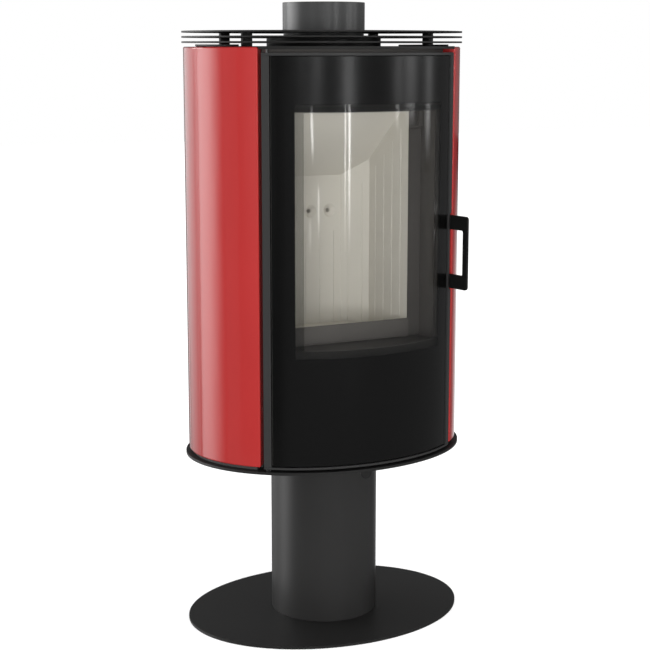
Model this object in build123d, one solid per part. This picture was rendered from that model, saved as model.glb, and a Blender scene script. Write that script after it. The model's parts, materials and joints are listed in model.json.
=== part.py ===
from build123d import *
import os
from math import cos, hypot, radians, sin, sqrt

# A wood burning stove with an oval body that turns on a round pedestal.
# Millimetres. Origin: middle of the base plate's underside. +Z up, the door faces -Y, +X is the door's
# handle side. Every casing surface is an ellipse "inset" from the skin, the outer face of the panels.

# ---- driving dimensions ----
SKIN_A = 263.7          # half width of the body's outer skin
SKIN_B = 207.0          # half depth of the body's outer skin
PLATE_PROUD = 6.0       # how far the plates stand out past the skin
BASE_T = 5.0            # base plate thickness
PEDESTAL_R = 101.0
PEDESTAL_WALL = 3.0
SPIGOT_R = 60.0         # the tube under the body that turns in the pedestal's top ring
BODY_Z = 326.0          # underside of the body's bottom plate
PLATE_T = 5.0           # bottom plate and body top plate thickness
PANEL_Z0, PANEL_Z1 = 337.0, 1075.0
TOP_Z = 1071.0          # underside of the body top plate
LOUVRE_T = 3.0
LOUVRE_Z = (1081.5, 1090.7, 1099.9)   # undersides of the three louvre plates
LOUVRE_HALF = (266.0, 213.5)
FLUE_R = 75.0           # outside of the flue collar
FLUE_WALL = 2.0
FLUE_NECK_R = 73.5      # the narrower neck welded to the firebox
FLUE_TOP = 1154.0
FLUE_STEP_Z = 1104.0    # the collar is full size from here up, just above the louvres
SHROUD_R = 104.5

DOOR_X = 191.7          # half width of the door at the skin
PANEL_X = 196.6         # where the panels' front and rear edges meet the skin
BAR_X = 181.0           # inner edge of the door's side bars
GLASS_X = 178.8
GLASS_INSET, GLASS_T = 2.0, 4.0
DOOR_Z0, DOOR_Z1 = 334.5, 1065.0
RAIL_TOP_T, RAIL_BOTTOM_T = 5.0, 4.0
HINGE_X, HINGE_Y = -180.5, -139.5
RUNNING = 0.05          # radial running clearance

WINDOW_X = 155.0        # half width of the firebox mouth
WINDOW_Z0, WINDOW_Z1 = 534.0, 964.0
SILL_Z = 547.5          # lower edge of the opening in the door's inner frame
FRAME_INSET, FRAME_T = 22.4, 4.0      # the fixed front frame behind the door
PANEL_RIM = 25.0        # depth of the panels' turned edges

LINER_X, LINER_BACK, LINER_FRONT = 150.0, 139.0, -55.0
LINER_CUT = 41.0        # the lining's 45 degree corners
LINER_T = 25.0
STEEL_T = 3.0
FLOOR_Z = 534.0         # top of the firebox floor
BAFFLE_Z, BAFFLE_RISE, BAFFLE_T = 827.0, 0.783, 30.0

HANDLE_Z0, HANDLE_Z1 = 635.0, 770.5
HANDLE_ROOT = (189.7, -144.6)         # middle of the handle plate where it leaves the door's edge
HANDLE_T, HANDLE_REACH = 4.5, 46.0    # plate thickness, and how far it stands out from its root
HANDLE_TURN = 10.3                    # degrees that the shut handle leans outwards
SHUTTER_Z = 333.3

os.makedirs("parts", exist_ok=True)


# ---- shapes that repeat ----
def inset(depth):
    """Half axes of the ellipse that lies this far inside the skin."""
    return SKIN_A - depth, SKIN_B - depth


def oval(axes, z0, z1):
    return Pos(0, 0, z0) * extrude(Ellipse(*axes), z1 - z0)


def shell(outer, inner, z0, z1):
    """A curved wall between two insets."""
    return oval(inset(outer), z0, z1) - oval(inset(inner), z0, z1)


def disc(r, z0, z1, x=0.0, y=0.0):
    return Pos(x, y, z0) * extrude(Circle(r), z1 - z0)


def ring(r1, r0, z0, z1, x=0.0, y=0.0):
    return disc(r1, z0, z1, x, y) - disc(r0, z0, z1, x, y)


def block(x0, x1, y0, y1, z0, z1):
    size = Box(x1 - x0, y1 - y0, z1 - z0)
    return Pos((x0 + x1) / 2, (y0 + y1) / 2, (z0 + z1) / 2) * size


def prism(points, z0, z1):
    return Pos(0, 0, z0) * extrude(Polygon(*points, align=None), z1 - z0, dir=(0, 0, 1))


def rod_y(r, x, z, y0, y1):
    """A round bar along Y."""
    return Pos(x, y0, z) * Rot(-90, 0, 0) * extrude(Circle(r), y1 - y0)


def peg(r, x, z, depth0, depth1, front=True):
    """A round bar square to the skin at x, between two depths under it."""
    start, end = edge_point(x, depth0, front), edge_point(x, depth1, front)
    way = Vector(end[0] - start[0], end[1] - start[1], 0)
    return Plane(origin=(start[0], start[1], z), z_dir=way) * extrude(Circle(r), way.length)


def behind_frame(part, z0, z1):
    """Cut a firebox plate back to the curved rear face of the front frame."""
    front = block(-300, 300, -300, -60, z0, z1)
    return part - (front - oval(inset(FRAME_INSET + FRAME_T), z0, z1))


def edge_point(x, depth, front=True, along=0.0):
    """A point this deep under the skin on the normal at x, shifted sideways along the skin."""
    y = SKIN_B * sqrt(1 - (x / SKIN_A) ** 2) * (-1 if front else 1)
    nx, ny = x / SKIN_A ** 2, y / SKIN_B ** 2
    n = hypot(nx, ny)
    nx, ny = nx / n, ny / n
    return x - nx * depth - ny * along, y - ny * depth + nx * along


def front_zone(x, z0, z1, side=-1):
    """The wedge in front of the body, from -x to x at the skin, or behind it when side is 1."""
    inner, outer = edge_point(x, 70), edge_point(x, -60)
    right = [inner, outer, (outer[0], -400)]
    left = [(-px, py) for px, py in reversed(right)]
    return prism([(px, -side * py) for px, py in right + left], z0, z1)


def side_zone(side, x, z0, z1):
    """The wedge at one side of the body, past x at the skin, front to back."""
    inner, outer = edge_point(x, 55), edge_point(x, -60)
    points = [inner, outer, (500, outer[1]), (500, -outer[1]), (outer[0], -outer[1]), (inner[0], -inner[1])]
    return prism([(side * px, py) for px, py in points], z0, z1)


def strip_zone(x0, x1, z0, z1):
    """A narrow wedge of the front between two x, square to the skin at each."""
    points = [edge_point(x0, -20), edge_point(x1, -20), edge_point(x1, 45), edge_point(x0, 45)]
    return prism(points, z0, z1)


def mirror_x(part):
    return mirror(part, about=Plane.YZ)


def screw(x, y, z, head_r=5.0, head_h=3.0, shank_r=3.0, length=10.0):
    """An upright screw, head on top, whose head rests at z."""
    return disc(head_r, z, z + head_h, x, y) + disc(shank_r, z - length, z, x, y)


def write(name, *solids):
    shape = solids[0] if len(solids) == 1 else Compound(children=list(solids))
    export_step(shape, f"parts/{name}.step")


# ---- pedestal ----
def pedestal():
    outside_air = disc(50, 0, BASE_T)
    plate = oval((SKIN_A + PLATE_PROUD, SKIN_B + PLATE_PROUD - 2), 0, BASE_T) - outside_air
    for angle in range(45, 360, 90):
        x, y = 82 * cos(radians(angle)), 82 * sin(radians(angle))
        plate -= disc(4.3, 0, BASE_T, x, y)
    write("base_plate", plate)
    tube_top = BODY_Z - 4.0
    tube = ring(PEDESTAL_R, PEDESTAL_R - PEDESTAL_WALL, BASE_T, tube_top)
    flange = ring(PEDESTAL_R - 1, 64, BASE_T, BASE_T + 6)
    top_ring = ring(PEDESTAL_R - 1, SPIGOT_R + RUNNING, tube_top - 8, tube_top)
    bolts = []
    for angle in range(45, 360, 90):
        x, y = 82 * cos(radians(angle)), 82 * sin(radians(angle))
        flange -= disc(4.3, BASE_T, BASE_T + 6, x, y)
        bolts.append(screw(x, y, BASE_T + 6, 7, 5, 4, 10))
    write("pedestal_tube", tube + flange + top_ring)
    write("pedestal_bolts", *bolts)
    write("swivel_slide_ring", ring(97, 62, tube_top, tube_top + 2))


# ---- swivel parts that turn with the body ----
def swivel():
    spigot = ring(SPIGOT_R, 56, 302, BODY_Z + PLATE_T) + ring(99, 58, BODY_Z - 2, BODY_Z)
    write("swivel_spigot", spigot)
    write("swivel_retaining_ring", ring(74, SPIGOT_R, 308, 313.5))


# ---- bottom plate, with the curved slot for the air lever ----
def lever_slot(z0, z1):
    slot = ring(174, 166, z0, z1)
    reach = 300.0
    half = radians(25)
    wedge = prism([(0, 0), (-reach * sin(half), -reach * cos(half)), (reach * sin(half), -reach * cos(half))],
                  z0, z1)
    return slot & wedge


def bottom_plate():
    plate = oval((SKIN_A + PLATE_PROUD, SKIN_B + PLATE_PROUD), BODY_Z, BODY_Z + PLATE_T)
    plate -= disc(SPIGOT_R, BODY_Z, BODY_Z + PLATE_T)
    plate -= lever_slot(BODY_Z, BODY_Z + PLATE_T)
    plate -= disc(3, BODY_Z, BODY_Z + PLATE_T, HINGE_X, HINGE_Y)
    write("bottom_plate", plate)


# ---- air control under the firebox ----
def air_windows(z0, z1):
    cuts = disc(14, z0, z1, 32, 0)
    for angle in (90, 180, 270):
        cuts += disc(14, z0, z1, 32 * cos(radians(angle)), 32 * sin(radians(angle)))
    return cuts


def air_control():
    floor = BODY_Z + PLATE_T
    fixed = disc(62, floor, floor + 2) - air_windows(floor, floor + 2)
    write("air_inlet_disc", fixed + disc(4, floor, floor + 6) + disc(7, floor + 4.5, floor + 6))
    turning = disc(56, SHUTTER_Z, SHUTTER_Z + 2) - air_windows(SHUTTER_Z, SHUTTER_Z + 2)
    turning += block(-9, 9, -168.5, -50, SHUTTER_Z, SHUTTER_Z + 2)
    turning -= disc(4 + RUNNING, SHUTTER_Z, SHUTTER_Z + 2)
    write("air_shutter", turning)
    tab_end = 300.0
    tab_r = 11.0
    tab = block(-tab_r, tab_r, -171.5, -168.5, tab_end + tab_r, SHUTTER_Z + 2)
    tab += rod_y(tab_r, 0, tab_end + tab_r, -171.5, -168.5)
    write("air_lever_tab", tab)
    write("air_duct", ring(61, 59, SHUTTER_Z + 3.5, 437))


# ---- firebox, welded from sheet ----
def liner_outline(out, front):
    """The lining's inner outline grown outwards by out, open at the front."""
    cut = LINER_CUT + out * (2 - sqrt(2))
    x, y = LINER_X + out, LINER_BACK + out
    return [(-x, front), (-x, y - cut), (-x + cut, y), (x - cut, y), (x, y - cut), (x, front)]


def firebox():
    z0, z1 = 437.0, 1045.0
    outer = prism(liner_outline(LINER_T + STEEL_T, -190), z0, z1)
    inner = prism(liner_outline(LINER_T, -200), z0, z1)
    walls = behind_frame(outer - inner, z0, z1)
    for x in (-83.4, -41.7, 0, 41.7, 83.4):
        walls -= rod_y(6, x, 757.5, LINER_BACK + LINER_T - 1, LINER_BACK + LINER_T + STEEL_T + 1)
    top = prism(liner_outline(LINER_T + STEEL_T, -190), z1, z1 + 5) - disc(FLUE_NECK_R, z1, z1 + 5)
    top = behind_frame(top, z1, z1 + 5)
    low = behind_frame(prism(liner_outline(LINER_T, -190), z0, z0 + 3), z0, z0 + 3) - disc(59, z0, z0 + 3)
    write("firebox_shell", walls)
    write("firebox_top_plate", top)
    write("firebox_bottom_plate", low)
    hearth_z = 505.0
    hearth = prism(liner_outline(LINER_T, -190), hearth_z, hearth_z + 4)
    hearth = behind_frame(hearth, hearth_z, hearth_z + 4)
    hearth -= block(-85, 85, -40, 100, hearth_z, hearth_z + 4)
    write("grate_carrier_plate", hearth)
    legs = []
    for x in (-150, 150):
        for y in (-75, 75):
            leg = block(x - 15, x + 15, y - 15, y + 15, BODY_Z + PLATE_T, z0)
            legs.append(leg - block(x - 12, x + 12, y - 12, y + 12, BODY_Z + PLATE_T, z0))
    write("firebox_supports", *legs)
    channel = block(-100, 100, 167, 182, 440, 785) - block(-98, 98, 167, 180, 442, 783)
    write("rear_air_channel", channel)


# ---- front frame behind the door ----
def front_frame():
    z0, z1 = BODY_Z + PLATE_T, TOP_Z
    frame = shell(FRAME_INSET, FRAME_INSET + FRAME_T, z0, z1)
    frame &= block(-180, 180, -300, -60, z0, z1)
    frame -= block(-WINDOW_X, WINDOW_X, -300, -60, WINDOW_Z0, WINDOW_Z1)
    frame -= block(-102, 102, -300, -60, 441, 500)
    write("front_frame", frame)
    ledge = behind_frame(prism(liner_outline(LINER_T, -190), 509, FLOOR_Z), 509, FLOOR_Z)
    ledge &= block(-300, 300, -300, LINER_FRONT - 7, 509, FLOOR_Z)
    write("hearth_ledge", ledge)


# ---- lining boards ----
def groove(x, y, angle, z0, z1):
    """A shallow three-sided groove cutter, its point angle degrees round from +Y."""
    cutter = prism([(-1.3, -1), (1.3, -1), (0, 1.6)], z0, z1)
    return Pos(x, y, 0) * Rot(0, 0, angle) * cutter


def baffle_under(y):
    return BAFFLE_Z + BAFFLE_RISE * (LINER_BACK - y)


def above_baffle():
    """Everything above the baffle's underside."""
    y0, y1, high = -120.0, 200.0, 1100.0
    face = Polygon((y0, baffle_under(y0)), (y1, baffle_under(y1)), (y1, high), (y0, high), align=None)
    return Pos(-200, 0, 0) * extrude(Plane.YZ * face, 400, dir=(1, 0, 0))


def lining():
    back_cut = LINER_X - LINER_CUT
    z0 = FLOOR_Z
    roof = above_baffle()
    back = block(-back_cut, back_cut, LINER_BACK, LINER_BACK + LINER_T, z0, BAFFLE_Z + 5) - roof
    for x in (-83.4, -41.7, 0, 41.7, 83.4):
        back -= rod_y(4.5, x, 757.5, LINER_BACK - 1, LINER_BACK + LINER_T + 1)
        back -= Pos(x, LINER_BACK + 3.9, 757.5) * Rot(-90, 0, 0) * Cone(12.9, 4.5, 8, align=Align.CENTER)
    for x in (-93, -62, -31, 0, 31, 62, 93):
        back -= groove(x, LINER_BACK, 0, z0, 717)
    write("liner_back", back)

    y_side = LINER_BACK - LINER_CUT
    gap = LINER_T * (sqrt(2) - 1)
    side = block(LINER_X, LINER_X + LINER_T, LINER_FRONT, y_side, z0, 1040) - roof
    for y in (72, 39.5, 7, -25.5):
        side -= groove(LINER_X, y, -90, z0, baffle_under(y) - 32)
    write("liner_right", side)
    write("liner_left", mirror_x(side))
    mid = LINER_X - LINER_CUT / 2, LINER_BACK - LINER_CUT / 2
    corner = prism([(LINER_X, y_side), (LINER_X + LINER_T, y_side), (LINER_X + LINER_T, y_side + gap),
                    (back_cut + gap, LINER_BACK + LINER_T), (back_cut, LINER_BACK + LINER_T),
                    (back_cut, LINER_BACK)], z0, 1040) - roof
    for along in (-14.5, 14.5):
        corner -= groove(mid[0] + along * sin(radians(45)), mid[1] - along * sin(radians(45)), -45, z0, 815)
    write("liner_corners", corner, mirror_x(corner))
    floor = prism(liner_outline(LINER_T, LINER_FRONT), 509, FLOOR_Z) - block(-90, 90, -45, 105, 509, FLOOR_Z)
    write("liner_floor", floor)

    span = LINER_X + LINER_T - 1
    y0, y1 = -62.0, LINER_BACK + LINER_T - 2
    up = BAFFLE_T * sqrt(1 + BAFFLE_RISE ** 2)
    outline = Polygon((y0, baffle_under(y0)), (y1, baffle_under(y1)),
                      (y1, baffle_under(y1) + up), (y0, baffle_under(y0) + up), align=None)
    baffle = Pos(-span, 0, 0) * extrude(Plane.YZ * outline, 2 * span, dir=(1, 0, 0))
    baffle &= prism(liner_outline(LINER_T - 1, -80), 700, 1044)
    write("baffle_board", baffle)
    rest = block(165, 175, LINER_FRONT - 12, LINER_FRONT - 4, 930, baffle_under(LINER_FRONT - 4) - 2)
    retainer = block(LINER_X - 1, LINER_X + LINER_T, LINER_FRONT - 2, LINER_FRONT, FLOOR_Z, 925)
    write("lining_brackets", rest, mirror_x(rest), retainer, mirror_x(retainer))
    write("log_guard", block(-149, 149, LINER_FRONT - 7, LINER_FRONT - 2.2, FLOOR_Z, 568))


# ---- grate and ash pan ----
def grate_and_ash():
    plate = block(-89, 89, -44, 104, 509, 532) - block(-85, 85, -40, 100, 509, 522)
    for i in range(-6, 7):
        plate -= block(i * 12 - 3.5, i * 12 + 3.5, -32, 92, 522, 532)
    write("grate", plate)
    pan = block(-100, 100, -120, 80, 442, 494) - block(-98.5, 98.5, -118.5, 78.5, 443.5, 494)
    grip = block(-40, 40, -128, -120, 478, 482) + block(-40, 40, -128, -126, 468, 482)
    write("ash_pan", pan + grip)


# ---- casing ----
def casing():
    floor = BODY_Z + PLATE_T
    inner_casings, rests, brackets = [], [], []
    for side, name in ((-1, "left"), (1, "right")):
        tile = shell(0, PANEL_RIM, PANEL_Z0, PANEL_Z1) & side_zone(side, PANEL_X, PANEL_Z0, PANEL_Z1)
        hollow = shell(9, PANEL_RIM + 2, PANEL_Z0 + 12, PANEL_Z1 - 12)
        tile -= hollow & side_zone(side, PANEL_X + 8, PANEL_Z0 + 12, PANEL_Z1 - 12)
        write(f"{name}_panel", tile)
        inner = shell(PANEL_RIM + 0.5, PANEL_RIM + 2, floor, TOP_Z) & side_zone(side, PANEL_X + 2, floor, TOP_Z)
        inner_casings.append(inner)
        rest = shell(7, 24, floor, PANEL_Z0) & side_zone(side, PANEL_X + 6, floor, PANEL_Z0)
        rests.append(rest)
        keeper = oval((242, 185), TOP_Z + PLATE_T, TOP_Z + PLATE_T + 3)
        keeper &= block(min(side * 210, side * 300), max(side * 210, side * 300), -200, 200, 1000, 1200)
        brackets.append(keeper)
    write("inner_side_casings", *inner_casings)
    write("panel_rests", *rests)
    write("panel_brackets", *brackets)
    back = shell(1.7, 3.7, floor, TOP_Z) & front_zone(DOOR_X, floor, TOP_Z, side=1)
    screws = []
    for z in (360, 700, 1040):
        for x in (-170, 170):
            back -= peg(2.5, x, z, -6, 12, front=False)
            screws.append(peg(2.5, x, z, 1.5, 10, front=False) + peg(4.5, x, z, -0.9, 1.5, front=False))
    write("rear_casing", back)
    write("rear_casing_screws", *screws)
    top = oval(inset(0), TOP_Z, TOP_Z + PLATE_T)
    for side in (-1, 1):
        top -= shell(-5, PANEL_RIM + 0.8, TOP_Z, TOP_Z + PLATE_T) & side_zone(side, PANEL_X - 1.5, TOP_Z,
                                                                           TOP_Z + PLATE_T)
    top -= disc(FLUE_R, TOP_Z, TOP_Z + PLATE_T)
    top -= disc(2.5, TOP_Z, TOP_Z + PLATE_T, HINGE_X, HINGE_Y)
    for x, y in LOUVRE_POSTS:
        top -= disc(4, TOP_Z, TOP_Z + PLATE_T, x, y)
    write("body_top_plate", top)


# ---- louvres and flue ----
LOUVRE_POSTS = ((-183, -64), (183, -64), (-156, 96), (156, 96))


def louvres():
    plate_top = TOP_Z + PLATE_T
    holes = (SHROUD_R + 0.5, FLUE_R + 1, FLUE_R + 1)
    for name, z, hole in zip(("lower", "middle", "upper"), LOUVRE_Z, holes):
        plate = oval(LOUVRE_HALF, z, z + LOUVRE_T) - disc(hole, z, z + LOUVRE_T)
        for x, y in LOUVRE_POSTS:
            plate -= disc(4, z, z + LOUVRE_T, x, y)
            if name == "upper":
                plate -= Pos(x, y, z + 1.5) * Cone(4, 7, 3, align=Align.CENTER)
        write(f"louvre_plate_{name}", plate)
    spacers = []
    floors = (plate_top, LOUVRE_Z[0] + LOUVRE_T, LOUVRE_Z[1] + LOUVRE_T)
    for x, y in LOUVRE_POSTS:
        for low, high in zip(floors, LOUVRE_Z):
            spacers.append(ring(10, 4, low, high, x, y))
    write("louvre_spacers", *spacers)
    head = LOUVRE_Z[2] + LOUVRE_T
    screws = []
    for x, y in LOUVRE_POSTS:
        screws.append(Pos(x, y, head - 1.5) * Cone(4, 7, 3, align=Align.CENTER)
                      + disc(3.9, TOP_Z - 3, head - 3, x, y))
    write("louvre_screws", *screws)
    write("flue_shroud", ring(SHROUD_R, SHROUD_R - 2, plate_top, LOUVRE_Z[1]))
    collar = ring(FLUE_R, FLUE_R - FLUE_WALL, FLUE_STEP_Z, FLUE_TOP)
    neck = ring(FLUE_NECK_R, FLUE_NECK_R - FLUE_WALL, 1045, FLUE_STEP_Z + 2)
    write("flue_collar", collar + neck)


# ---- door ----
SPINDLE_DEPTH, SPINDLE_SIDE = 7.0, 3.2    # under the skin, and in from the door's right edge
SPINDLE_R = 1.75
HUB_R = 3.0
CLIP_X = 176.0          # middle of the clips that hold the glass
CLIP_HOLE_R = 2.0


def spindle_centre():
    return edge_point(DOOR_X, SPINDLE_DEPTH, True, -SPINDLE_SIDE)


def door():
    z0, z1 = DOOR_Z0, DOOR_Z1
    top_z, low_z = z1 - RAIL_TOP_T, z0 + RAIL_BOTTOM_T
    top = shell(0, 20, top_z, z1) & front_zone(DOOR_X, top_z, z1)
    write("door_top_rail", top - disc(2.5 + RUNNING, top_z, z1, HINGE_X, HINGE_Y))
    low = shell(-0.5, 20, z0, low_z) & front_zone(DOOR_X, z0, low_z)
    write("door_bottom_rail", low - disc(3 + RUNNING, z0, low_z, HINGE_X, HINGE_Y))
    bar = shell(0, 10, low_z, top_z) & strip_zone(BAR_X, DOOR_X, low_z, top_z)
    left = mirror_x(bar) - disc(3.2, low_z, low_z + 12, HINGE_X, HINGE_Y)
    left -= disc(2.7, top_z - 12, top_z, HINGE_X, HINGE_Y)
    write("door_bar_left", left)
    cx, cy = spindle_centre()
    notch = strip_zone(DOOR_X - 5.2, DOOR_X + 3, HANDLE_Z0 - 3, HANDLE_Z1 + 3)
    right = bar - notch - disc(SPINDLE_R + RUNNING, HANDLE_Z0 - 15, HANDLE_Z1 + 15, cx, cy)
    write("door_bar_right", right)
    inner = shell(10, 12.5, low_z, top_z) & front_zone(DOOR_X, low_z, top_z)
    inner -= block(-WINDOW_X, WINDOW_X, -300, -60, SILL_Z, WINDOW_Z1)
    inner -= strip_zone(DOOR_X - 9, DOOR_X + 3, HANDLE_Z0 - 3, HANDLE_Z1 + 3)
    inner -= disc(3.6, low_z, low_z + 12, HINGE_X, HINGE_Y) + disc(3.2, top_z - 12, top_z, HINGE_X, HINGE_Y)
    glass_end = 1.5
    glass = shell(GLASS_INSET, GLASS_INSET + GLASS_T, low_z + glass_end, top_z - 0.5)
    glass &= front_zone(GLASS_X, low_z + glass_end, top_z - 0.5)
    write("door_glass", glass)
    tape_out = (WINDOW_X + 9, WINDOW_Z0 - 9, WINDOW_Z1 + 9)
    tape_in = (WINDOW_X + 2, WINDOW_Z0 - 2, WINDOW_Z1 + 2)
    write("glass_tape", window_band(GLASS_INSET + GLASS_T, 10, tape_out, tape_in))
    seal_out = (WINDOW_X + 9, WINDOW_Z0 - 9, WINDOW_Z1 + 9)
    seal_in = (WINDOW_X + 2, WINDOW_Z0 - 2, WINDOW_Z1 + 2)
    write("door_seal_rope", window_band(12.5, FRAME_INSET - 0.3, seal_out, seal_in))
    clips, screws = [], []
    for z in (412, 590, 866, 1030):
        for side in (-1, 1):
            x = side * CLIP_X
            x0, x1 = sorted((side * (CLIP_X - 3.5), side * (CLIP_X + 3.5)))
            clip = shell(GLASS_INSET + GLASS_T, 10, z - 8, z + 8) & strip_zone(x0, x1, z - 8, z + 8)
            clips.append(clip - peg(CLIP_HOLE_R, x, z, 5, 12))
            inner -= peg(CLIP_HOLE_R, x, z, 8, 14)
            screws.append(peg(CLIP_HOLE_R - 0.1, x, z, 7.5, 12.6) + peg(3.2, x, z, 12.6, 14.4))
    write("door_inner_frame", inner)
    write("glass_clips", *clips)
    write("glass_clip_screws", *screws)


def window_band(outer, inner, out, hole):
    """A band round the window between two insets; out and hole are half width, bottom, top."""
    band = shell(outer, inner, out[1], out[2]) & block(-out[0], out[0], -300, -60, out[1], out[2])
    return band - block(-hole[0], hole[0], -300, -60, hole[1], hole[2])


# ---- hinge ----
def hinge():
    top = disc(2.5, DOOR_Z1 - 14, TOP_Z + PLATE_T, HINGE_X, HINGE_Y)
    low = disc(3, BODY_Z, DOOR_Z0 + 12, HINGE_X, HINGE_Y)
    write("hinge_pins", top, low)
    write("hinge_washer", ring(5.3, 3 + RUNNING, BODY_Z + PLATE_T, DOOR_Z0, HINGE_X, HINGE_Y))


# ---- handle and latch ----
def handle():
    cx, cy = spindle_centre()
    tang = HANDLE_T / 2
    leg, grip = 26.2, 12.1
    plate = block(-tang, tang, -HANDLE_REACH, 0, HANDLE_Z0, HANDLE_Z1)
    corners = plate.edges().filter_by(Axis.X).group_by(Axis.Y)[0]
    plate = fillet(corners, 6)
    window = block(-tang - 1, tang + 1, grip - HANDLE_REACH, 1, HANDLE_Z0 + leg, HANDLE_Z1 - leg)
    window_corners = window.edges().filter_by(Axis.X).group_by(Axis.Y)[0]
    plate = Pos(*HANDLE_ROOT) * Rot(0, 0, HANDLE_TURN) * (plate - fillet(window_corners, 3))
    spots = ((SPINDLE_DEPTH, -SPINDLE_SIDE - tang), (SPINDLE_DEPTH, -SPINDLE_SIDE + tang))
    inner = [edge_point(DOOR_X, depth, True, along) for depth, along in spots]
    lean_x, lean_y = tang * cos(radians(HANDLE_TURN)), tang * sin(radians(HANDLE_TURN))
    outer = [(HANDLE_ROOT[0] + side * lean_x, HANDLE_ROOT[1] + side * lean_y) for side in (1, -1)]
    for low, high in ((HANDLE_Z0, HANDLE_Z0 + leg), (HANDLE_Z1 - leg, HANDLE_Z1)):
        plate += prism(inner + outer, low, high) + disc(HUB_R, low, high, cx, cy)
        plate -= disc(SPINDLE_R, low, high, cx, cy)
    write("door_handle", plate)
    write("handle_spindle", disc(SPINDLE_R, HANDLE_Z0 - 12, HANDLE_Z1 + 12, cx, cy))
    z_mid = (HANDLE_Z0 + HANDLE_Z1) / 2
    near, tip = SPINDLE_DEPTH, 18.5
    points = [edge_point(DOOR_X, depth, True, -SPINDLE_SIDE + side)
              for depth, side in ((near, -2), (near, 2), (tip, 2), (tip, -2))]
    tongue = prism(points, z_mid - 9, z_mid + 9) + disc(HUB_R, z_mid - 9, z_mid + 9, cx, cy)
    write("latch_tongue", tongue - disc(SPINDLE_R, z_mid - 9, z_mid + 9, cx, cy))
    finger = [edge_point(DOOR_X, depth, True, side)
              for depth, side in ((13, 0.6), (13, 2.8), (FRAME_INSET - 1, 2.8), (FRAME_INSET - 1, 0.6))]
    z0, z1 = z_mid - 14, z_mid + 14
    foot = shell(FRAME_INSET - 2, FRAME_INSET, z0, z1) & block(171, 180, -300, -60, z0, z1)
    write("latch_keeper", prism(finger, z0, z1) + foot)


pedestal()
swivel()
bottom_plate()
air_control()
firebox()
front_frame()
lining()
grate_and_ash()
casing()
louvres()
door()
hinge()
handle()
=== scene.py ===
"""Looks of the oval wood burning stove: rounded edges, printed glass, glaze, paint and studio light."""
import json
from math import atan2, cos, hypot, pi, radians, sin, sqrt

import bmesh
import bpy
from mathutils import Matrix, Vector

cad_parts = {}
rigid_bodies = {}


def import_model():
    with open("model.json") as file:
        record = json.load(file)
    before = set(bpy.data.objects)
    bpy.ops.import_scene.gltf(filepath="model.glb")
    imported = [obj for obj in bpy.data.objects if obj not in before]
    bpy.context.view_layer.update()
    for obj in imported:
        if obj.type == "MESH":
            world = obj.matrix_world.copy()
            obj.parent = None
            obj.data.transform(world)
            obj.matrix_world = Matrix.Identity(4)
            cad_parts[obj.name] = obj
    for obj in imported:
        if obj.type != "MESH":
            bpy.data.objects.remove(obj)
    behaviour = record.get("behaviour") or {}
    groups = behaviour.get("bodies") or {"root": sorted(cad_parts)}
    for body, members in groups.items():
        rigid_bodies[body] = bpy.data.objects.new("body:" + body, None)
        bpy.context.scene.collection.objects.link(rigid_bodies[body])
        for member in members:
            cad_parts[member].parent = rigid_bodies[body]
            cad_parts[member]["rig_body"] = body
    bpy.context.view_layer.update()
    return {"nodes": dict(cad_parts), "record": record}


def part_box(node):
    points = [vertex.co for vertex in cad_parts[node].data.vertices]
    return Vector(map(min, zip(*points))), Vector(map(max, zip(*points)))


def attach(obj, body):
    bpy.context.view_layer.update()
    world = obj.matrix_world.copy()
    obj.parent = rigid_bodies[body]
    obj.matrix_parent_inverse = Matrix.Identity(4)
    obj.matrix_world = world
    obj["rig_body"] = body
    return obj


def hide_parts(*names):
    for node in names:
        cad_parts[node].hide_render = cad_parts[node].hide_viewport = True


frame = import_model()
nodes = frame["nodes"]
slots = {part["node"]: part["material_slot"] for part in frame["record"]["subparts"]}
MM = 0.001

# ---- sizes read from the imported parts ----
SKIN_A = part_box("right_panel")[1].x            # half axes of the outer skin
SKIN_B = -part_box("door_top_rail")[0].y
GLASS_Z0, GLASS_Z1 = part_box("door_glass")[0].z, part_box("door_glass")[1].z
PANEL_Z0, PANEL_Z1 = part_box("left_panel")[0].z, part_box("left_panel")[1].z
BOARD_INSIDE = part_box("liner_right")[0].x      # inner face and front end of the side lining boards
BOARD_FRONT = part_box("liner_right")[0].y

# ---- sizes of the rebuilt pieces; an end is where the sheet stops, measured at the skin ----
GLASS_END = 178.8 * MM
GLASS_OUTSIDE, GLASS_INSIDE = 2 * MM, 6 * MM       # depths of its faces under the skin
PRINT_DEPTH = (GLASS_OUTSIDE + GLASS_INSIDE) / 2   # tells the outer face from the inner
PANEL_END = 196.6 * MM
PANEL_RIM = 25 * MM                                # depth of the turned edges
CASING_END = 191.7 * MM
CASING_OUTSIDE, CASING_INSIDE = 1.7 * MM, 3.7 * MM

# ---- how far edges are rounded ----
SHEET_EDGE, PANE_EDGE, BOARD_EDGE, GLAZE_EDGE = 0.5 * MM, 0.8 * MM, 1.0 * MM, 3.2 * MM
SHARP_EDGE = radians(35)                           # an edge that turns more than this is rounded
SAME_POINT = 0.002 * MM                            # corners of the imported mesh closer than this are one
SAME_PLANE = radians(0.3)                          # and faces that meet at less than this are one


# ---- geometry on the oval ----
def angle_at(x, depth):
    """The ellipse angle, on the oval inset by depth, of the point square under the skin's back at x."""
    y = SKIN_B * sqrt(1 - (x / SKIN_A) ** 2)
    nx, ny = x / SKIN_A ** 2, y / SKIN_B ** 2
    size = hypot(nx, ny)
    return atan2((y - ny / size * depth) / (SKIN_B - depth), (x - nx / size * depth) / (SKIN_A - depth))


def oval_arc(depth, start, end, steps):
    """Points on the ellipse inset by depth, from start to end, angles measured from +X."""
    a, b = SKIN_A - depth, SKIN_B - depth
    turns = [start + (end - start) * i / steps for i in range(steps + 1)]
    return [(a * cos(t), b * sin(t)) for t in turns]


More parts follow.
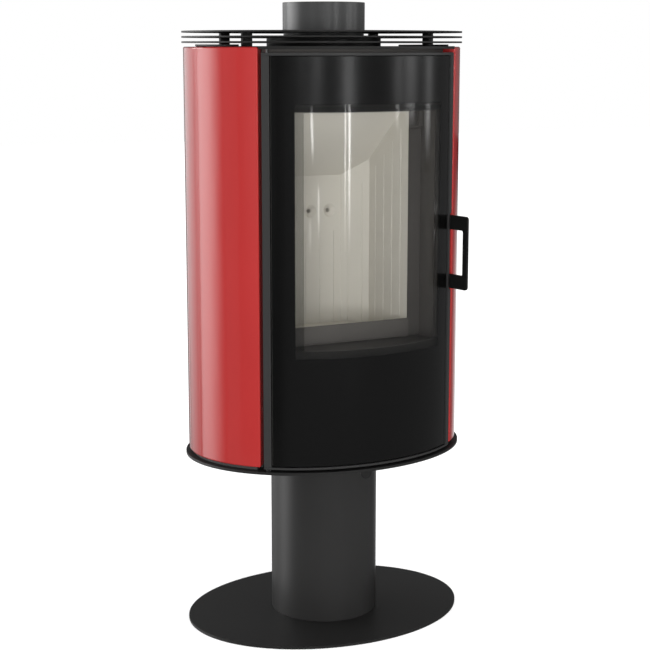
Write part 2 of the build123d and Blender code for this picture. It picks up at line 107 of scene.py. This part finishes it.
def sheet_outline(middle, x, outside, inside, steps):
    """Plan of a curved sheet between two depths, either side of the ellipse angle called middle.

    Its ends are square to the skin, at x and at the mirror point.
    """
    outline = []
    for depth, way in ((outside, 1), (inside, -1)):
        half = way * abs(abs(middle) - angle_at(x, depth))
        outline += oval_arc(depth, middle - half, middle + half, steps)
    return outline


# ---- meshes ----
def new_piece(name, mesh, node, material):
    """Put a mesh in the scene in place of a CAD node, riding on that node's body."""
    piece = bpy.data.objects.new(name, mesh)
    bpy.context.scene.collection.objects.link(piece)
    piece.data.materials.clear()
    piece.data.materials.append(material)
    for face in piece.data.polygons:
        face.use_smooth = True
    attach(piece, nodes[node]["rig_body"])
    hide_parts(node)
    return piece


def round_edges(piece, width, segments):
    """Round a piece's sharp edges over this width."""
    bevel = piece.modifiers.new("rounded_edges", "BEVEL")
    bevel.limit_method = "ANGLE"
    bevel.angle_limit = SHARP_EDGE
    bevel.width = width
    bevel.segments = segments
    bevel.harden_normals = True


def upright_wall(name, outline, levels, node, material, width, segments):
    """A closed upright solid over a plan outline, with one row of points at each level and round edges."""
    bm = bmesh.new()
    rows = [[bm.verts.new((x, y, z)) for x, y in outline] for z in levels]
    count = len(outline)
    for low, high in zip(rows, rows[1:]):
        for i in range(count):
            j = (i + 1) % count
            bm.faces.new((low[i], low[j], high[j], high[i]))
    bm.faces.new(list(reversed(rows[0])))
    bm.faces.new(rows[-1])
    bmesh.ops.recalc_face_normals(bm, faces=bm.faces)
    mesh = bpy.data.meshes.new(name)
    bm.to_mesh(mesh)
    bm.free()
    round_edges(new_piece(name, mesh, node, material), width, segments)


def softened(node, material, width):
    """A CAD node again, with its sharp edges rounded as real sheet and castings are."""
    mesh = nodes[node].data.copy()
    bm = bmesh.new()
    bm.from_mesh(mesh)
    bmesh.ops.remove_doubles(bm, verts=bm.verts, dist=SAME_POINT)
    bmesh.ops.dissolve_limit(bm, angle_limit=SAME_PLANE, verts=bm.verts, edges=bm.edges)
    bm.to_mesh(mesh)
    bm.free()
    piece = new_piece(node + ".rounded", mesh, node, material)
    round_edges(piece, width, 2)
    shading = piece.modifiers.new("flat_faces_stay_flat", "WEIGHTED_NORMAL")
    shading.mode = "FACE_AREA"
    shading.weight = 70                            # over 50, larger faces count for more


# ---- materials; a pattern's scale is per metre ----
COLOUR_A, COLOUR_B, COLOUR_OUT = 6, 7, 2       # places of a Mix node's colour sockets


def new_material(name):
    """An empty material, its node tree, and the socket that its shader goes into."""
    mat = bpy.data.materials.new(name)
    mat.use_nodes = True
    tree = mat.node_tree
    tree.nodes.clear()
    return mat, tree, tree.nodes.new("ShaderNodeOutputMaterial").inputs["Surface"]


def add(tree, kind, **settings):
    """Add a node; settings named like its attributes are set, the rest are input values."""
    node = tree.nodes.new("ShaderNode" + kind)
    for key, value in settings.items():
        if hasattr(node, key):
            setattr(node, key, value)
        else:
            node.inputs[key.replace("_", " ")].default_value = value
    return node


def feed(tree, socket, value):
    """Give an input a number, a colour of three parts, or another node's output."""
    if isinstance(value, bpy.types.NodeSocket):
        tree.links.new(value, socket)
    elif isinstance(value, (int, float)):
        socket.default_value = value
    else:
        socket.default_value = (*value, 1)


def principled(name, **settings):
    """A material of one Principled shader with these even settings, its tree and the shader's inputs."""
    mat, tree, surface = new_material(name)
    shader = add(tree, "BsdfPrincipled", **settings)
    tree.links.new(shader.outputs[0], surface)
    return mat, tree, shader.inputs


def on_piece(tree):
    """Coordinates fixed to the piece, in metres."""
    return add(tree, "TexCoord").outputs["Object"]


def on_piece_xyz(tree):
    """The same, as three numbers."""
    place = add(tree, "SeparateXYZ")
    tree.links.new(on_piece(tree), place.inputs[0])
    return place.outputs


def stretched(tree, scale):
    """Coordinates fixed to the piece, for patterns drawn out along an axis where the scale is under 1."""
    mapping = add(tree, "Mapping", Scale=scale)
    tree.links.new(on_piece(tree), mapping.inputs["Vector"])
    return mapping.outputs["Vector"]


def noise(tree, scale, detail, coords=None):
    """A cloudy 0 to 1 pattern over the piece, or over the coordinates given."""
    if coords is None:
        coords = on_piece(tree)
    node = add(tree, "TexNoise", Scale=scale, Detail=detail)
    tree.links.new(coords, node.inputs["Vector"])
    return node.outputs["Fac"]


def maths(tree, operation, *values):
    """One maths node; each value is a number or another node's output."""
    node = add(tree, "Math", operation=operation)
    for socket, value in zip(node.inputs, values):
        feed(tree, socket, value)
    return node.outputs[0]


def spread(tree, value, low, high):
    """Stretch a 0 to 1 pattern onto a range of numbers."""
    node = add(tree, "MapRange", To_Min=low, To_Max=high)
    tree.links.new(value, node.inputs["Value"])
    return node.outputs["Result"]


def blend_colours(tree, factor, first, second):
    """Two colours mixed by a pattern: the first where it is 0, the second where it is 1."""
    node = add(tree, "Mix", data_type="RGBA")
    feed(tree, node.inputs["Factor"], factor)
    feed(tree, node.inputs[COLOUR_A], first)
    feed(tree, node.inputs[COLOUR_B], second)
    return node.outputs[COLOUR_OUT]


def bump(tree, height, strength, distance):
    node = add(tree, "Bump", Strength=strength, Distance=distance)
    tree.links.new(height, node.inputs["Height"])
    return node.outputs["Normal"]


def painted(name, colour, darker, rough, grain=1400, depth=0.03 * MM, specular=0.5):
    """Sprayed heat-proof paint: fine orange peel, and slow changes of tone and gloss."""
    mat, tree, shader = principled(name, Specular_IOR_Level=specular)
    broad = noise(tree, 9, 3)
    fine = noise(tree, grain, 2)
    feed(tree, shader["Base Color"], blend_colours(tree, broad, colour, darker))
    feed(tree, shader["Roughness"], spread(tree, fine, *rough))
    feed(tree, shader["Normal"], bump(tree, fine, 0.25, depth))
    return mat


def metal(name, colour, rough, stretch):
    """Bare metal with fine marks; a stretch under 1 draws them out along that axis."""
    mat, tree, shader = principled(name, Metallic=1.0)
    marks = noise(tree, 600, 3, stretched(tree, stretch))
    darker = [0.7 * part for part in colour]
    feed(tree, shader["Base Color"], blend_colours(tree, marks, colour, darker))
    feed(tree, shader["Roughness"], spread(tree, marks, *rough))
    feed(tree, shader["Normal"], bump(tree, marks, 0.15, 0.02 * MM))
    return mat


def lining_board():
    """Pressed vermiculite board: cream, matt, with small flakes; the side boards' front ends are painted
    dark as shade.
    """
    mat, tree, shader = principled("lining_board", Roughness=0.85, Specular_IOR_Level=0.25)
    flakes = add(tree, "TexVoronoi", Scale=420)
    tree.links.new(on_piece(tree), flakes.inputs["Vector"])
    height = flakes.outputs["Distance"]
    tone = maths(tree, "MULTIPLY", height, noise(tree, 14, 4))
    cream = blend_colours(tree, tone, (0.645, 0.622, 0.568), (0.55, 0.527, 0.473))
    place = on_piece_xyz(tree)
    # 0.8 mm takes in most of the rounded edge at the end, and 0.3 mm is to spare beside the inner face
    in_front = maths(tree, "LESS_THAN", place["Y"], BOARD_FRONT + 0.8 * MM)
    beside = maths(tree, "GREATER_THAN", maths(tree, "ABSOLUTE", place["X"]), BOARD_INSIDE - 0.3 * MM)
    # painted shade: the side boards' front ends are darkened as if they lay in shade beside the frame
    painted_shade_front_ends = maths(tree, "MULTIPLY", in_front, beside)
    feed(tree, shader["Base Color"], blend_colours(tree, painted_shade_front_ends, cream, (0.06, 0.056, 0.053)))
    feed(tree, shader["Normal"], bump(tree, height, 0.2, 0.25 * MM))
    return mat


def red_glaze():
    """Deep red ceramic under a clear glaze that pooled and ran a little as it was fired."""
    mat, tree, shader = principled("red_glaze", Coat_Weight=1.0, Coat_Roughness=0.09, Coat_IOR=1.5,
                                   Specular_IOR_Level=0.1)
    broad = noise(tree, 7, 3)
    speckle = noise(tree, 900, 2)
    runs = noise(tree, 26, 1, stretched(tree, (1, 1, 0.28)))
    colour = blend_colours(tree, broad, (0.275, 0.0165, 0.016), (0.245, 0.0145, 0.014))
    feed(tree, shader["Base Color"], colour)
    feed(tree, shader["Roughness"], spread(tree, speckle, 0.32, 0.42))
    feed(tree, shader["Coat Normal"], bump(tree, runs, 0.35, 1.2 * MM))
    feed(tree, shader["Normal"], bump(tree, speckle, 0.06, 0.05 * MM))
    return mat


def rope(name, colour):
    """Braided glass fibre."""
    mat, tree, shader = principled(name, Roughness=0.9)
    braid = add(tree, "TexWave", wave_type="BANDS", bands_direction="DIAGONAL", Scale=260, Distortion=1.5)
    tree.links.new(on_piece(tree), braid.inputs["Vector"])
    weave = braid.outputs["Fac"]
    dark = [0.5 * part for part in colour]
    feed(tree, shader["Base Color"], blend_colours(tree, weave, dark, colour))
    feed(tree, shader["Normal"], bump(tree, weave, 0.6, 0.5 * MM))
    return mat


# ---- printed door glass ----
WINDOW_MIDDLE = 4 * MM                     # the window's middle, to the right of the door's
WINDOW_HALF = 147 * MM                     # from there to the outer edge of the dotted band
WINDOW_LOW, WINDOW_HIGH = 534 * MM, 977.5 * MM
DOT_BAND = 14 * MM                         # width of the dotted band
DOT_PITCH = 3.7 * MM
DOT_EDGE = -0.10                           # the wave's height at a dot's edge: lower makes the dots smaller
GLASS_GLOSS = 0.04                         # what glass mirrors seen square on; edge on it mirrors all


def inside_window(tree, x, z, shrink):
    """1 inside the window's rectangle pulled in by shrink, and 0 outside it."""
    across = maths(tree, "SUBTRACT", WINDOW_HALF - shrink,
                   maths(tree, "ABSOLUTE", maths(tree, "SUBTRACT", x, WINDOW_MIDDLE)))
    above = maths(tree, "SUBTRACT", z, WINDOW_LOW + shrink)
    below = maths(tree, "SUBTRACT", WINDOW_HIGH - shrink, z)
    nearest = maths(tree, "MINIMUM", across, maths(tree, "MINIMUM", above, below))
    return maths(tree, "GREATER_THAN", nearest, 0.0)


def wave(tree, along):
    """A wave with one crest to each dot pitch."""
    return maths(tree, "COSINE", maths(tree, "MULTIPLY", along, 2 * pi / DOT_PITCH))


def clear_glass(tree, place):
    """1 where the pane is clear: its middle, between the dots, and all of its inner face."""
    x, y, z = place["X"], place["Y"], place["Z"]
    waves = maths(tree, "MULTIPLY", wave(tree, x), wave(tree, z))
    between_dots = maths(tree, "GREATER_THAN", waves, DOT_EDGE)
    band = maths(tree, "MULTIPLY", inside_window(tree, x, z, 0.0), between_dots)
    outer_face = maths(tree, "MAXIMUM", inside_window(tree, x, z, DOT_BAND), band)
    long_way = maths(tree, "POWER", maths(tree, "DIVIDE", x, SKIN_A - PRINT_DEPTH), 2.0)
    short_way = maths(tree, "POWER", maths(tree, "DIVIDE", y, SKIN_B - PRINT_DEPTH), 2.0)
    inner_face = maths(tree, "LESS_THAN", maths(tree, "ADD", long_way, short_way), 1.0)
    return maths(tree, "MAXIMUM", outer_face, inner_face)


def mix_shaders(tree, factor, first, second):
    node = add(tree, "MixShader")
    for socket, output in zip(node.inputs, (factor, first, second)):
        tree.links.new(output, socket)
    return node.outputs[0]


def door_glass():
    """Heat-proof glass with a black enamel border, a band of dots, and a clear middle.

    The enamel is on the outer face only, so the dots are crossed once. How much the clear glass
    mirrors follows Schlick's curve, which is the same from both sides.
    """
    mat, tree, surface = new_material("printed_glass")
    clear = clear_glass(tree, on_piece_xyz(tree))
    enamel = add(tree, "BsdfPrincipled", Base_Color=(0.0016, 0.0016, 0.0016, 1))
    feed(tree, enamel.inputs["Roughness"], spread(tree, noise(tree, 30, 2), 0.20, 0.24))
    see_through = add(tree, "BsdfTransparent", Color=(0.93, 0.93, 0.925, 1))
    mirror = add(tree, "BsdfGlossy", Roughness=0.04)
    facing = add(tree, "LayerWeight", Blend=0.5).outputs["Facing"]
    grazing = maths(tree, "MULTIPLY", maths(tree, "POWER", facing, 5.0), 1 - GLASS_GLOSS)
    mirrored = maths(tree, "ADD", grazing, GLASS_GLOSS)
    pane = mix_shaders(tree, mirrored, see_through.outputs[0], mirror.outputs[0])
    tree.links.new(mix_shaders(tree, clear, enamel.outputs[0], pane), surface)
    return mat


# ---- the finishes: two tones, and the range of roughness ----
PAINT = painted("black_paint", (0.0175, 0.0172, 0.0169), (0.014, 0.0137, 0.0135), (0.34, 0.42))
FLUE_PAINT = painted("flue_paint", (0.041, 0.0415, 0.0415), (0.036, 0.0365, 0.0365), (0.25, 0.31))
PLATE_PAINT = painted("plate_paint", (0.0105, 0.0102, 0.010), (0.0085, 0.0082, 0.008), (0.45, 0.55))
DOOR_PAINT = painted("door_paint", (0.0215, 0.0215, 0.0215), (0.018, 0.018, 0.018), (0.38, 0.46))
REVEAL_PAINT = painted("reveal_paint", (0.060, 0.056, 0.053), (0.050, 0.046, 0.043), (0.55, 0.7))
FRAME_PAINT = painted("frame_paint", (0.026, 0.025, 0.024), (0.020, 0.019, 0.018), (0.55, 0.7))
HANDLE_PAINT = painted("handle_paint", (0.006, 0.006, 0.006), (0.005, 0.005, 0.005), (0.5, 0.6),
                       specular=0.3)
INNER_PAINT = painted("inner_paint", (0.045, 0.043, 0.042), (0.036, 0.034, 0.033), (0.55, 0.7))
WALL_PAINT = painted("wall_paint", (0.074, 0.069, 0.065), (0.063, 0.058, 0.055), (0.55, 0.7))
GUARD_PAINT = painted("guard_paint", (0.105, 0.098, 0.092), (0.09, 0.084, 0.079), (0.55, 0.7))
STEEL = metal("brushed_steel", (0.52, 0.52, 0.53), (0.25, 0.42), (1, 1, 0.05))
BRONZE = metal("bearing_bronze", (0.60, 0.42, 0.20), (0.28, 0.4), (1, 1, 1))
IRON = painted("cast_iron", (0.035, 0.034, 0.033), (0.022, 0.021, 0.020), (0.55, 0.8),
               grain=500, depth=0.4 * MM)
BOARD = lining_board()
GLAZE = red_glaze()
ROPE = rope("seal_rope", (0.10, 0.095, 0.09))
GLASS_TAPE = rope("glass_tape", (0.022, 0.021, 0.020))
GLASS = door_glass()

BY_SLOT = {"black_paint": PAINT, "dark_steel": INNER_PAINT, "steel": STEEL, "brass_bearing": BRONZE,
           "iron": IRON, "lining": BOARD, "red_glaze": GLAZE, "rope": ROPE, "door_glass": GLASS}
OWN_FINISH = ((PLATE_PAINT, "base_plate bottom_plate body_top_plate panel_brackets air_lever_tab"),
              (PLATE_PAINT, "louvre_plate_lower louvre_plate_middle louvre_plate_upper"),
              (DOOR_PAINT, "door_bar_left door_bar_right door_top_rail door_bottom_rail"),
              (HANDLE_PAINT, "door_handle"), (FLUE_PAINT, "flue_collar"), (REVEAL_PAINT, "front_frame"),
              (FRAME_PAINT, "door_inner_frame"), (GLASS_TAPE, "glass_tape"), (GUARD_PAINT, "log_guard"),
              (WALL_PAINT, "firebox_shell lining_brackets"))
BY_NODE = {node: finish for finish, names in OWN_FINISH for node in names.split()}


# ---- pieces rebuilt in mesh ----
def glazed_panels():
    """The two ceramic side panels: a curved face with deep turned edges, all edges melted round."""
    rows = 24
    levels = [PANEL_Z0 + (PANEL_Z1 - PANEL_Z0) * i / rows for i in range(rows + 1)]
    for side, name in ((-1, "left"), (1, "right")):
        outline = [(side * x, y) for x, y in sheet_outline(0, PANEL_END, 0, PANEL_RIM, 96)]
        upright_wall(f"{name}_panel.glazed", outline, levels, f"{name}_panel", GLAZE, GLAZE_EDGE, 5)


def glass_pane():
    """The curved pane, fine enough for clean reflections."""
    outline = sheet_outline(-pi / 2, GLASS_END, GLASS_OUTSIDE, GLASS_INSIDE, 160)
    upright_wall("door_glass.pane", outline, [GLASS_Z0, GLASS_Z1], "door_glass", GLASS, PANE_EDGE, 2)


def back_casing():
    """The curved sheet across the back; its screw heads cover their holes."""
    outline = sheet_outline(pi / 2, CASING_END, CASING_OUTSIDE, CASING_INSIDE, 96)
    low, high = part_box("rear_casing")
    upright_wall("rear_casing.sheet", outline, [low.z, high.z], "rear_casing", PAINT, SHEET_EDGE, 2)


glazed_panels()
glass_pane()
back_casing()
REBUILT = {"left_panel", "right_panel", "door_glass", "rear_casing"}
for node in sorted(set(nodes) - REBUILT):
    edge = BOARD_EDGE if node.startswith("liner") else SHEET_EDGE
    softened(node, BY_NODE.get(node, BY_SLOT[slots[node]]), edge)


# ---- studio; lengths in metres, angles in degrees ----
GLOW_DISTANCE = 3.6                        # from the stove's middle to the light panels
GLOW_TOP_FADE = 0.4                        # the fade under a panel's top, as a share of the one at its foot
AIM = Vector((0, 0, 0.75))                 # the point on the stove that the fill lights face
FLOOR_HALF = 14.0
CAMERA_PLACE = (-1.2913, -2.5343, 1.0750)
CAMERA_HEADING, CAMERA_DOWN = radians(27.05), radians(10.321)
CAMERA_LENS = 84.65                        # in mm, on a sensor 36 mm wide


def stage_plane(name, corners, material):
    """A four-sided plane that isn't part of the stove."""
    mesh = bpy.data.meshes.new(name)
    mesh.from_pydata(corners, [], [(0, 1, 2, 3)])
    mesh.materials.append(material)
    plane = bpy.data.objects.new(name, mesh)
    bpy.context.scene.collection.objects.link(plane)
    return plane


def point(thing, direction):
    """Turn a lamp or a camera to look along a direction, upright."""
    thing.rotation_euler = direction.to_track_quat("-Z", "Y").to_euler()


def ramp(tree, value, start, end):
    """0 at start, 1 at end, smooth between."""
    node = add(tree, "MapRange", interpolation_type="SMOOTHSTEP", From_Min=start, From_Max=end)
    tree.links.new(value, node.inputs["Value"])
    return node.outputs["Result"]


def glow(name, azimuth, half_angle, bottom, top, radiance, fade, soft=0.6, tilt=0.0):
    """A tall light panel that only gloss sees. Azimuth 0 is in front, 90 on the handle side.

    It fades in over the height called fade above its bottom, and out over less under its top.
    soft is the share of its half width that fades at each side.
    """
    half = GLOW_DISTANCE * radians(half_angle)
    middle = (bottom + top) / 2
    height = (top - bottom) / 2
    mat, tree, surface = new_material(name)
    place = on_piece_xyz(tree)
    across = ramp(tree, maths(tree, "ABSOLUTE", place["X"]), half, half * (1 - soft))
    up = ramp(tree, place["Z"], -height, fade - height)
    down = ramp(tree, place["Z"], height, height - GLOW_TOP_FADE * fade)
    lit = maths(tree, "MULTIPLY", across, maths(tree, "MULTIPLY", up, down))
    emission = add(tree, "Emission")
    tree.links.new(maths(tree, "MULTIPLY", lit, radiance), emission.inputs["Strength"])
    tree.links.new(emission.outputs[0], surface)
    corners = [(-half, 0, -height), (half, 0, -height), (half, 0, height), (-half, 0, height)]
    panel = stage_plane(name, corners, mat)
    turn = radians(azimuth)
    panel.location = (GLOW_DISTANCE * sin(turn), -GLOW_DISTANCE * cos(turn), middle)
    panel.rotation_euler = (0, radians(tilt), turn)
    for kind in ("camera", "diffuse", "transmission", "volume_scatter", "shadow"):
        setattr(panel, "visible_" + kind, False)


def fill(name, place, width, height, radiance):
    """A broad soft light that only matt surfaces see, aimed at the stove."""
    lamp = bpy.data.lights.new(name, "AREA")
    lamp.shape = "RECTANGLE"
    lamp.size, lamp.size_y = width, height
    lamp.energy = radiance * pi * width * height
    box = bpy.data.objects.new(name, lamp)
    box.location = place
    point(box, AIM - box.location)
    box.visible_glossy = False
    box.visible_camera = False
    bpy.context.scene.collection.objects.link(box)


def studio():
    fill("front_fill", (-2.0, -3.5, 0.9), 0.9, 0.9, 41.0)
    fill("handle_side_fill", (2.2, -3.6, 1.3), 1.6, 1.8, 2.0)
    # the camera sees these in the door's glass
    glow("strip_a0", -24.0, 0.5, 0.87, 2.0, 6.0, fade=0.05)
    glow("strip_a", -13.0, 1.5, 0.88, 2.0, 6.5, fade=0.10)
    glow("leaf_a", -16.5, 1.3, 0.60, 0.86, 8.0, fade=0.13, soft=0.9, tilt=-26)
    glow("leaf_c", -12.2, 1.0, 0.30, 0.55, 6.0, fade=0.14, soft=0.9, tilt=-2)
    glow("leaf_d", -18.2, 1.6, 0.24, 0.42, 2.5, fade=0.10, soft=0.9)
    glow("strip_b1", 5.8, 0.55, 0.20, 2.0, 9.0, fade=0.55, soft=0.5)
    glow("strip_b2", 8.6, 0.90, 0.20, 2.0, 11.0, fade=0.55, soft=0.5)
    glow("strip_f", 42.5, 1.2, 0.72, 2.0, 7.0, fade=0.14)
    glow("strip_g", 53.0, 4.8, 0.74, 2.0, 2.8, fade=0.14, soft=0.35)
    glow("strip_e", 70.5, 3.4, 0.58, 2.0, 3.0, fade=0.30, soft=0.7)
    glow("strip_h", 81.6, 1.0, 0.24, 0.46, 3.0, fade=0.10)
    # and these in the side panels, the flue collar and the pedestal
    glow("left_wall", -122.0, 32.0, -2.6, 2.6, 3.7, fade=3.4, soft=0.9)
    glow("left_line", -137.0, 2.5, -1.2, 2.6, 2.0, fade=2.4)
    glow("flue_wall", -132.0, 24.0, 1.09, 2.6, 8.0, fade=0.06, soft=0.25)
    glow("left_back_line", -171.0, 2.0, -1.2, 2.6, 1.6, fade=2.4)
    glow("left_back_wall", -162.0, 30.0, -2.6, 2.6, 1.2, fade=3.4)
    glow("left_front_wall", -58.0, 20.0, -0.6, 2.6, 0.35, fade=1.6, soft=0.9)
    glow("right_wall", 140.0, 30.0, -2.4, 0.7, 0.8, fade=1.6, soft=0.75)


def world(matt, gloss):
    """An even studio: bright for matt surfaces, dim in reflections, and white behind the stove."""
    room = bpy.data.worlds.new("studio")
    room.use_nodes = True
    tree = room.node_tree
    tree.nodes.clear()
    out = add(tree, "OutputWorld")
    path = add(tree, "LightPath")
    light = None
    for level, ray in ((matt, None), (gloss, "Is Glossy Ray"), (1.0, "Is Camera Ray")):
        even = add(tree, "Background", Color=(level, level, level, 1)).outputs[0]
        light = mix_shaders(tree, path.outputs[ray], light, even) if ray else even
    tree.links.new(light, out.inputs["Surface"])
    bpy.context.scene.world = room


def floor():
    """A plain pale floor, with the faintest cloudiness, lit a little from within so it stays pale."""
    mat, tree, shader = principled("pale_floor", Roughness=0.8, Specular_IOR_Level=0.0,
                                   Emission_Color=(1, 1, 1, 1), Emission_Strength=0.2)
    colour = blend_colours(tree, noise(tree, 0.8, 2), (0.86, 0.86, 0.86), (0.84, 0.84, 0.84))
    feed(tree, shader["Base Color"], colour)
    corners = [(x * FLOOR_HALF, y * FLOOR_HALF, 0) for x, y in ((-1, -1), (1, -1), (1, 1), (-1, 1))]
    ground = stage_plane("floor", corners, mat)
    ground.visible_glossy = False


def camera():
    """A little over a metre up, in front and to the left of the door, looking slightly down."""
    data = bpy.data.cameras.new("camera")
    data.sensor_width = 36.0
    data.lens = CAMERA_LENS
    view = bpy.data.objects.new("camera", data)
    view.location = CAMERA_PLACE
    level = cos(CAMERA_DOWN)
    point(view, Vector((sin(CAMERA_HEADING) * level, cos(CAMERA_HEADING) * level, -sin(CAMERA_DOWN))))
    bpy.context.scene.collection.objects.link(view)
    bpy.context.scene.camera = view


studio()
world(matt=1.25, gloss=0.16)
floor()
camera()
bpy.context.scene.view_settings.view_transform = "Standard"
